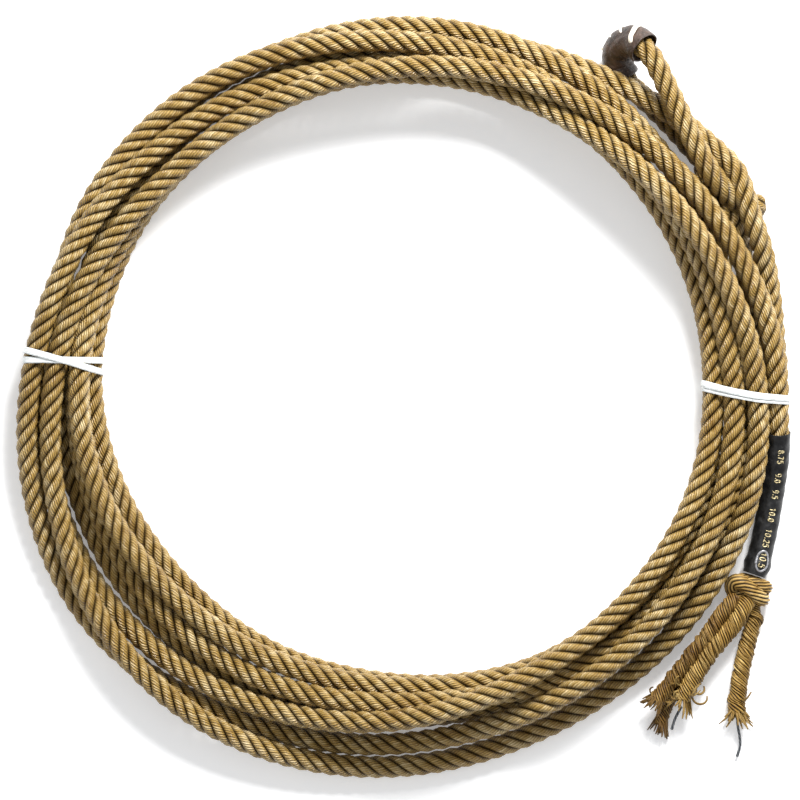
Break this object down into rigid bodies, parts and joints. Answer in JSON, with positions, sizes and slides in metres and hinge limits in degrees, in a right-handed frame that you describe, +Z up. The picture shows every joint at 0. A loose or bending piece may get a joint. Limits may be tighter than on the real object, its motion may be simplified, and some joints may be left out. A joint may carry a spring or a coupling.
{
  "type": "coiled roping rope",
  "caption": "Laid roping rope coiled and bound for storage, its outer turn run through a leather-faced fixed eye, with a sleeved tail ending in a strand knot.",
  "frame": {"origin": "on the ground under the middle of the whole outline", "axes": "+Z up out of the coil's plane; the eye is towards +X +Y and the tail towards +X -Y"},
  "size_m": [0.3603, 0.3486, 0.0368],
  "materials": {
    "rope": "waxed laid nylon and polyester yarn",
    "burner_leather": "dark waxed leather",
    "burner_lace": "pale rawhide lace",
    "tie_band": "flat white band",
    "size_sleeve": "satin black shrink sleeve",
    "strand_yarn": "loosened waxed yarn",
    "core_thread": "dark grey core thread"
  },
  "bodies": {
    "coil": {"rope_coil": "rope", "threaded_turn": "rope", "bound_tail": "rope", "eye_knot": "rope", "eye_rope_end": "rope", "tie_left_lower_wrap": "tie_band", "tie_left_upper_wrap": "tie_band", "tie_right_lower_wrap": "tie_band", "tie_right_upper_wrap": "tie_band"},
    "eye": {"rope_eye": "rope", "eye_burner": "burner_leather", "burner_lace_1": "burner_lace", "burner_lace_2": "burner_lace", "burner_lace_3": "burner_lace", "burner_lace_4": "burner_lace", "burner_lace_5": "burner_lace"},
    "tail": {"tail_rope": "rope", "size_sleeve": "size_sleeve", "tail_knot": "strand_yarn"},
    "strand_under": {"strand_under": "strand_yarn"},
    "strand_dark": {"strand_dark": "strand_yarn"},
    "strand_light": {"strand_light": "strand_yarn", "core_thread_light": "core_thread"},
    "strand_right": {"strand_right": "strand_yarn", "core_thread_right": "core_thread"}
  },
  "joints": [
    {"name": "eye_swing", "type": "hinge", "parent": "coil", "child": "eye", "pos_m": [0.1466, 0.0998, 0.0273], "axis": [0, 0, -1], "range_deg": [0, 12]},
    {"name": "tail_swing", "type": "hinge", "parent": "coil", "child": "tail", "pos_m": [0.1739, -0.0086, 0.00785], "axis": [0, 0, 1], "range_deg": [0, 35]},
    {"name": "strand_under_swing", "type": "hinge", "parent": "tail", "child": "strand_under", "pos_m": [0.1506, -0.0982, 0.0032], "axis": [0, 0, 1], "range_deg": [-5, 8]},
    {"name": "strand_dark_lift", "type": "hinge", "parent": "tail", "child": "strand_dark", "pos_m": [0.1512, -0.0974, 0.0098], "axis": [-0.7781, 0.6281, 0], "range_deg": [0, 25]},
    {"name": "strand_light_lift", "type": "hinge", "parent": "tail", "child": "strand_light", "pos_m": [0.1586, -0.1004, 0.0104], "axis": [-0.8613, 0.5082, 0], "range_deg": [0, 25]},
    {"name": "strand_right_swing", "type": "hinge", "parent": "tail", "child": "strand_right", "pos_m": [0.1636, -0.0992, 0.004], "axis": [0, 0, 1], "range_deg": [-5, 25]}
  ]
}
